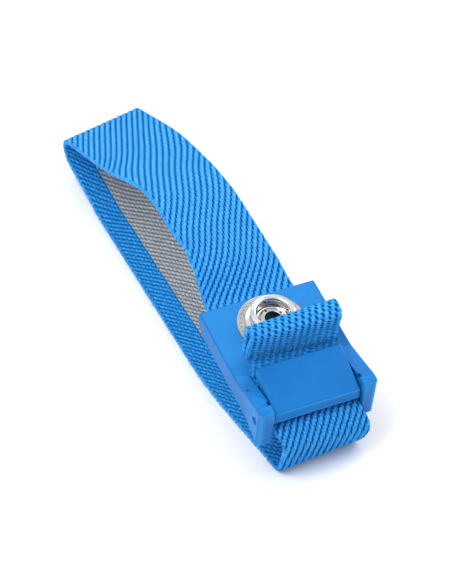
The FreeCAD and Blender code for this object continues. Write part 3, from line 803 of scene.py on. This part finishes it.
def stitched_runs():
    """How far along the band the hem's stitching lies, on the tail's front leg and on its rear one."""
    middle = (LEFT + RIGHT) / 2
    c, s = math.cos(BUCKLE_TILT), math.sin(BUCKLE_TILT)
    above = (middle[:, 1] - PLATE_HEIGHT) * c - (middle[:, 0] - CREASE_Y) * s
    in_tail = S > LENGTH + FRONT_TO_TAIL[0]
    crossing = np.flatnonzero(in_tail[1:] & ((above[1:] > STITCH_HEIGHT) != (above[:-1] > STITCH_HEIGHT)))
    return [float(S[i]) for i in crossing]


def add_stitches(material):
    """Slanted stitches in a row across both legs of the tail, sunk into the cloth at their ends."""
    tubes = []
    reach = 1 - 2 * STITCH_FROM_EDGE / BAND_WIDTH
    for run, way in zip(stitched_runs(), (1, -1)):
        for across in np.linspace(-reach, reach, STITCH_COUNT):
            path = []
            for part in np.linspace(-1, 1, STITCH_POINTS):
                lift = BAND_THICKNESS / 2 - STITCH_SUNK + STITCH_ARCH * (1 - part * part) ** 0.5
                slant = part * STITCH_SLANT * 2 / BAND_WIDTH
                path.append(point_on_band(run + way * part * STITCH_REACH, across + slant, lift))
            tubes.append(tube(path, np.full(STITCH_POINTS, STITCH_THREAD / 2), STITCH_SIDES))
    mesh = tubes_mesh("hem_stitching", tubes)
    piece = add_piece("hem_stitching", mesh, [material], ROOT)
    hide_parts("hem_stitches")


def add_rubber(material):
    """Rubber threads along the middle of the band, their cut ends just out of the cloth."""
    reach = 1 - 2 * RUBBER_FROM_EDGE / BAND_WIDTH
    every = np.r_[1.0:LENGTH - 2.5:RUBBER_STEP, LENGTH - 2:LENGTH:RUBBER_END_STEP,
                  LENGTH + RUBBER_STANDS_OUT]
    tubes = []
    for across in np.linspace(-reach, reach, RUBBER_COUNT):
        path = [point_on_band(run, across, 0.0) for run in every]
        tubes.append(tube(path, np.full(len(path), RUBBER_SIZE / 2), RUBBER_SIDES))
    mesh = tubes_mesh("rubber_threads", tubes)
    piece = add_piece("rubber_threads", mesh, [material], ROOT)
    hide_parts("elastic_threads")


def add_fray(material):
    """Loose yarn at the band's cut end and lint along its edges."""
    rng = np.random.default_rng(LOOSE_SEED)
    tubes = []
    for _ in range(FRAY_COUNT):
        across, lift = rng.uniform(-0.97, 0.97), rng.uniform(-0.5, 0.5)
        length, drift, rise = rng.uniform(*FRAY_LENGTHS), rng.normal(0, 0.03), rng.normal(0, 0.35)
        parts = np.linspace(0, 1, FRAY_POINTS)
        path = [point_on_band(LENGTH - 0.3 + length * p, across + drift * p, lift + rise * p * p)
                for p in parts]
        tubes.append(tube(path, FRAY_THREAD / 2 * (1 - FRAY_TAPER * parts), FRAY_SIDES))
    for _ in range(LINT_COUNT):
        side, lift = rng.choice([-1, 1]), rng.uniform(-0.4, 0.4)
        run = rng.uniform(LINT_FROM, LENGTH - 2)
        length, drift, rise = rng.uniform(*LINT_LENGTHS), rng.normal(0, 0.5), rng.normal(0, 0.3)
        parts = np.linspace(0, 1, LINT_POINTS)
        out = side * (LINT_ROOT + length * parts * 2 / BAND_WIDTH)
        path = [point_on_band(run + drift * p * p, o, lift + rise * p) for p, o in zip(parts, out)]
        path = np.maximum(path, (-np.inf, -np.inf, LINT_THREAD))
        tubes.append(tube(path, LINT_THREAD / 2 * (1 - LINT_TAPER * parts), LINT_SIDES))
    add_piece("frayed_yarn", tubes_mesh("frayed_yarn", tubes), [material], ROOT)


# The stage

LIGHT_STRENGTH, SHOWN_STRENGTH = 0.70, 1.0
FLOOR_REACH = 3.0


def add_world():
    """A white surround that lights the scene less than it shows, and the plain view transform."""
    scene = bpy.context.scene
    scene.view_settings.view_transform = "Standard"
    world = bpy.data.worlds.new("studio")
    scene.world = world
    world.use_nodes = True
    n = Nodes(world.node_tree)
    mix = n.add("ShaderNodeMixShader")
    for strength, socket in zip((LIGHT_STRENGTH, SHOWN_STRENGTH), mix.inputs[1:]):
        background = n.add("ShaderNodeBackground")
        background.inputs["Color"].default_value = (1, 1, 1, 1)
        background.inputs["Strength"].default_value = strength
        n.link(background.outputs[0], socket)
    path = n.add("ShaderNodeLightPath")
    seen = n.math("MAXIMUM", path.outputs["Is Camera Ray"], path.outputs["Is Glossy Ray"])
    seen = n.math("MAXIMUM", seen, path.outputs["Is Transmission Ray"])
    n.link(seen, mix.inputs["Fac"])
    n.link(mix.outputs[0], n.add("ShaderNodeOutputWorld").inputs["Surface"])


def add_floor():
    """A matt white floor."""
    mesh = bpy.data.meshes.new("floor")
    r = FLOOR_REACH
    mesh.from_pydata([(-r, -r, 0), (r, -r, 0), (r, r, 0), (-r, r, 0)], [], [(0, 1, 2, 3)])
    floor = bpy.data.objects.new("floor", mesh)
    bpy.context.scene.collection.objects.link(floor)
    material, n = new_material("floor")
    n.surface(n.principled(rgb(252, 252, 252), 0.9, Specular_IOR_Level=0.0))
    mesh.materials.append(material)


def add_lamps():
    """A large soft key from the left, a fill from the right and a rim light from behind."""
    lamps = [
        ("key", (-0.50, -0.20, 0.80), 0.50, 5.2),
        ("fill", (0.62, -0.05, 0.62), 0.70, 2.5),
        ("rim", (0.10, 0.80, 0.60), 0.60, 2.5),
    ]
    for name, place, size, power in lamps:
        data = bpy.data.lights.new(name, "AREA")
        data.shape = "SQUARE"
        data.size = size
        data.energy = power
        lamp = bpy.data.objects.new(name, data)
        lamp.location = place
        lamp.rotation_euler = Vector(place).to_track_quat("Z", "Y").to_euler()
        bpy.context.scene.collection.objects.link(lamp)


def paint_nodes():
    """Gives the rigid parts their finish."""
    plastic = blue_plastic()
    nickel = plated_metal("nickel_plate", rgb(196, 196, 196), rgb(104, 106, 110),
                          roughness=0.17, pitted=0.12)
    steel = plated_metal("pin_steel", rgb(120, 122, 126), rgb(70, 72, 76), roughness=0.34, pitted=0.25)
    tray = plated_metal("stainless_plate", rgb(190, 190, 190), rgb(130, 131, 134),
                        roughness=0.28, pitted=0.25)
    stud = plated_metal("stud_nickel", rgb(226, 227, 229), rgb(150, 152, 156),
                        roughness=0.13, pitted=0.04, dark_within=RIVET_PETALS)
    rivet = plated_metal("rivet_metal", rgb(206, 204, 200), rgb(120, 116, 112),
                         roughness=0.22, pitted=0.06, dark_within=RIVET_BORE)
    finish = {
        "buckle_body": plastic, "cam_lever": plastic, "pivot_pin": steel, "grip_washer": nickel,
        "snap_stud": stud, "snap_rivet": rivet, "contact_plate": tray,
    }
    for name, material in finish.items():
        slots = NODES[name].data.materials
        if len(slots) == 0:
            slots.append(material)
        for i in range(len(slots)):
            slots[i] = material


add_camera()
add_world()
add_floor()
add_lamps()
paint_nodes()
BLUE_CORDS = woven("blue_cords", rgb(88, 186, 255), rgb(28, 142, 232), rgb(0, 76, 154), rgb(112, 202, 255),
                   gap_from=0.08, gap_to=0.22, stepped=0.10, dotted=0.085, seam=0.06)
ROW_GAPS = {"gap_from": 0.04, "gap_to": 0.24, "stepped": 0.22, "dotted": 0.08, "seam": 0.05}
BLUE_ROWS = woven("blue_rows", rgb(62, 174, 250), rgb(6, 130, 216), rgb(0, 70, 142), rgb(110, 200, 250),
                  **ROW_GAPS)
GREY_ROWS = woven("grey_rows", rgb(194, 198, 200), rgb(146, 152, 156), rgb(72, 82, 92), rgb(230, 232, 232),
                  **ROW_GAPS)
band = add_band(BLUE_CORDS, BLUE_ROWS)
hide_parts("band_webbing")
add_stripe(GREY_ROWS)
add_stitches(thread_material("sewing_thread", rgb(96, 180, 244), rgb(30, 120, 200)))
add_rubber(thread_material("rubber_thread", rgb(214, 206, 188), rgb(176, 166, 146)))
add_fray(thread_material("loose_yarn", rgb(84, 178, 250), rgb(30, 128, 214)))
